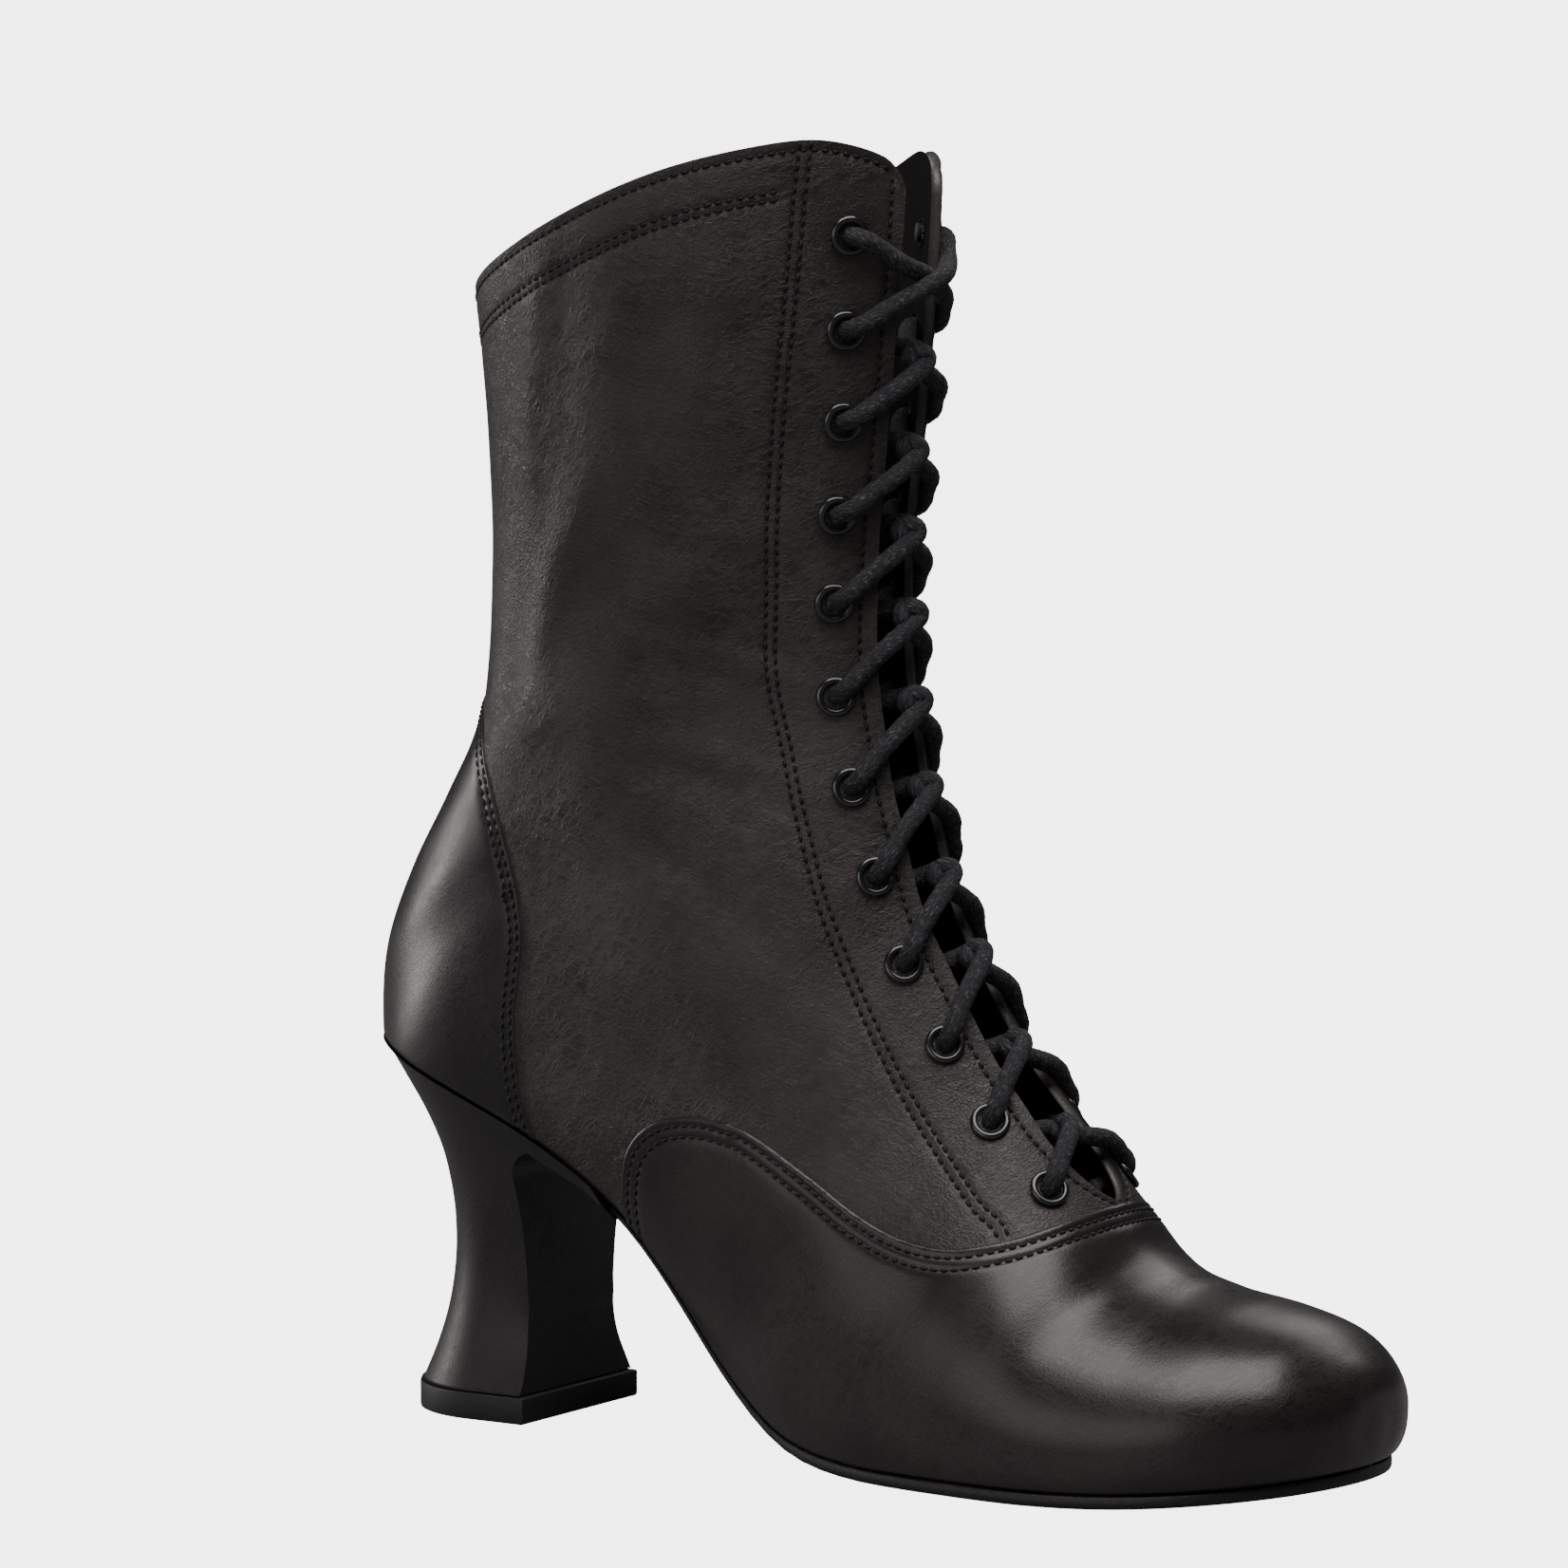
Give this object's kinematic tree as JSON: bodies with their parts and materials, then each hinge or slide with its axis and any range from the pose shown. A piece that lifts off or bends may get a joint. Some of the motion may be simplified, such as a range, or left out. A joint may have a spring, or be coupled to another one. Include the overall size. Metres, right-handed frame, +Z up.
{
  "type": "heeled lace-up boot",
  "caption": "Calf-high boot with an oval toe, waisted heel, curved vamp wing, heel counter and facings laced over the instep up to a sloping collar.",
  "frame": {"origin": "centre of the bounding box in plan, on the floor", "axes": "+Z up, +X from the heel to the toe, +Y to the wearer's left, which is the inner side of this right boot"},
  "size_m": [0.2434, 0.0882, 0.2782],
  "materials": {
    "boot_leather": "soft satin grain",
    "heel_leather": "smooth satin",
    "sole_leather": "matt",
    "heel_rubber": "matt",
    "lining_cloth": "matt",
    "eyelet_metal": "gloss black",
    "lace_cord": "matt braid"
  },
  "bodies": {
    "root": {"upper": "boot_leather", "outsole": "sole_leather", "insole": "lining_cloth", "heel": "heel_leather", "top_piece": "heel_rubber", "eyelet_outer_01": "eyelet_metal", "eyelet_outer_02": "eyelet_metal", "eyelet_outer_03": "eyelet_metal", "eyelet_outer_04": "eyelet_metal", "eyelet_outer_05": "eyelet_metal", "eyelet_outer_06": "eyelet_metal", "eyelet_outer_07": "eyelet_metal", "eyelet_outer_08": "eyelet_metal", "eyelet_outer_09": "eyelet_metal", "eyelet_outer_10": "eyelet_metal", "eyelet_outer_11": "eyelet_metal", "eyelet_outer_12": "eyelet_metal", "eyelet_inner_01": "eyelet_metal", "eyelet_inner_02": "eyelet_metal", "eyelet_inner_03": "eyelet_metal", "eyelet_inner_04": "eyelet_metal", "eyelet_inner_05": "eyelet_metal", "eyelet_inner_06": "eyelet_metal", "eyelet_inner_07": "eyelet_metal", "eyelet_inner_08": "eyelet_metal", "eyelet_inner_09": "eyelet_metal", "eyelet_inner_10": "eyelet_metal", "eyelet_inner_11": "eyelet_metal", "eyelet_inner_12": "eyelet_metal", "lace_crossing_01": "lace_cord", "lace_crossing_02": "lace_cord", "lace_crossing_03": "lace_cord", "lace_crossing_04": "lace_cord", "lace_crossing_05": "lace_cord", "lace_crossing_06": "lace_cord", "lace_crossing_07": "lace_cord", "lace_crossing_08": "lace_cord", "lace_crossing_09": "lace_cord", "lace_crossing_10": "lace_cord", "lace_crossing_11": "lace_cord", "lace_bar": "lace_cord"}
  },
  "joints": []
}
